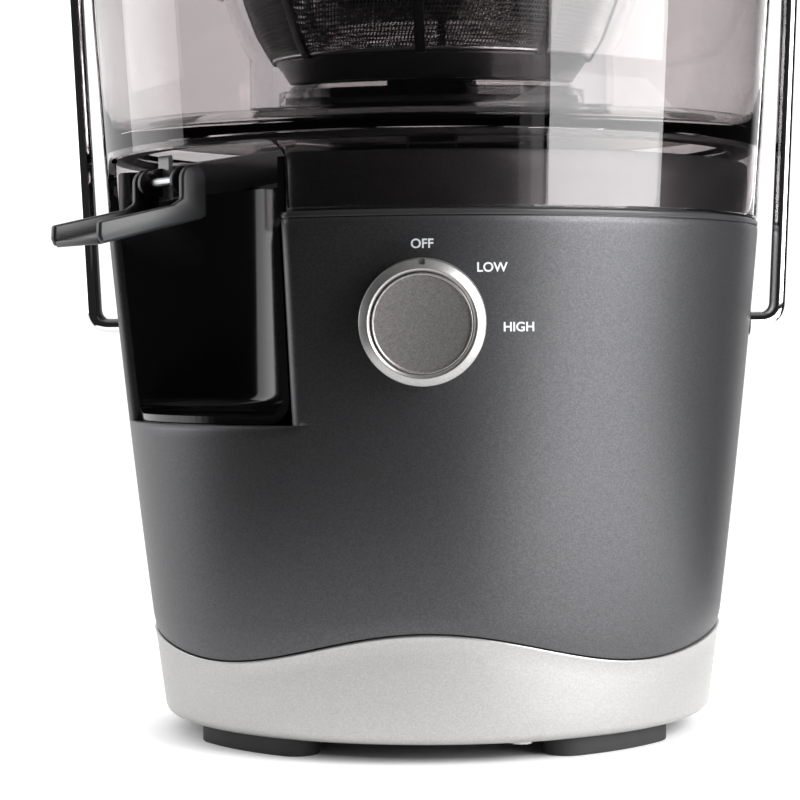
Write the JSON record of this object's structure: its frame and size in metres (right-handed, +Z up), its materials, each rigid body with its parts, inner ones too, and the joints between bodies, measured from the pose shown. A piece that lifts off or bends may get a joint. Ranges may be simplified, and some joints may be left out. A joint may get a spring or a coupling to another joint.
{
  "type": "centrifugal juicer",
  "caption": "Upright centrifugal juicer: tapered motor base with a speed knob, clear pulp drum, juice spout, sieve basket, feed chute with pusher and a locking arm.",
  "frame": {"origin": "on the vertical drive axis, at the soles of the feet", "axes": "+Z up along the drive axis; -Y is the front with the speed knob; the spout leaves at the front left, between -X and -Y"},
  "size_m": [0.2282, 0.215, 0.4],
  "materials": {
    "housing_paint": "charcoal metallic flake paint, satin",
    "satin_silver": "satin silver",
    "gloss_black": "glossy",
    "matt_black": "moulded, matt",
    "soft_grip": "soft, ribbed",
    "rubber": "matt rubber",
    "chrome": "polished",
    "steel": "turned",
    "sieve_steel": "perforated and etched",
    "motor_iron": "laminated",
    "copper_winding": "enamelled wire",
    "circuit_board": "resin board",
    "smoky_clear": "smoky grey transparent",
    "clear": "clear"
  },
  "bodies": {
    "base": {"base_housing": "housing_paint", "base_band": "satin_silver", "alcove_liner": "gloss_black", "bottom_plate": "matt_black", "foot_front_right": "rubber", "foot_rear_right": "rubber", "foot_rear_left": "rubber", "foot_front_left": "rubber", "base_screw_1": "steel", "base_screw_2": "steel", "base_screw_3": "steel", "base_screw_4": "steel", "cord_gland": "rubber", "arm_bush_left": "matt_black", "arm_bush_right": "matt_black", "motor_deck": "matt_black", "deck_seal": "rubber", "motor_bracket_top": "motor_iron", "motor_bracket_bottom": "motor_iron", "stator_core": "motor_iron", "field_coil_front": "copper_winding", "field_coil_rear": "copper_winding", "bearing_top": "steel", "bearing_bottom": "steel", "motor_mount_1": "rubber", "motor_mount_2": "rubber", "motor_mount_3": "rubber", "motor_mount_4": "rubber", "brush_holder_left": "matt_black", "brush_holder_right": "matt_black", "control_board": "circuit_board", "interlock_switch": "matt_black", "rotary_switch": "matt_black", "pulp_drum": "smoky_clear", "drum_floor": "smoky_clear", "juice_bowl": "clear", "bowl_seal": "rubber", "spout_pin": "steel", "lid": "smoky_clear", "feed_chute": "smoky_clear", "lid_seal": "rubber"},
    "knob": {"knob_body": "satin_silver", "knob_face": "satin_silver", "knob_spindle": "steel"},
    "rotor": {"motor_shaft": "steel", "rotor_core": "motor_iron", "commutator": "copper_winding", "cooling_fan": "matt_black", "drive_coupling": "matt_black", "sieve_hub": "matt_black", "sieve_mesh": "sieve_steel", "sieve_rim": "sieve_steel", "grater_disc": "sieve_steel"},
    "arm": {"locking_arm": "chrome", "arm_grip": "soft_grip", "arm_retainer_left": "steel", "arm_retainer_right": "steel"},
    "pusher": {"pusher_body": "smoky_clear", "pusher_cap": "housing_paint"},
    "spout": {"spout": "gloss_black"}
  },
  "joints": [
    {"name": "knob_turn", "type": "hinge", "parent": "base", "child": "knob", "pos_m": [0, -0.09743, 0.1235], "axis": [0, 0.9952, 0.0975], "range_deg": [0, 90]},
    {"name": "drive_spin", "type": "hinge", "parent": "base", "child": "rotor", "pos_m": [0, 0, 0.1], "axis": [0, 0, 1], "continuous": true},
    {"name": "arm_swing", "type": "hinge", "parent": "base", "child": "arm", "pos_m": [0, 0, 0.1243], "axis": [-1, 0, 0], "range_deg": [0, 95]},
    {"name": "pusher_lift", "type": "slide", "parent": "base", "child": "pusher", "axis": [0, 0, 1], "range_m": [0, 0.12]},
    {"name": "spout_flip", "type": "hinge", "parent": "base", "child": "spout", "pos_m": [-0.07431, -0.06235, 0.1645], "axis": [-0.6428, 0.766, 0], "range_deg": [0, 60]}
  ]
}
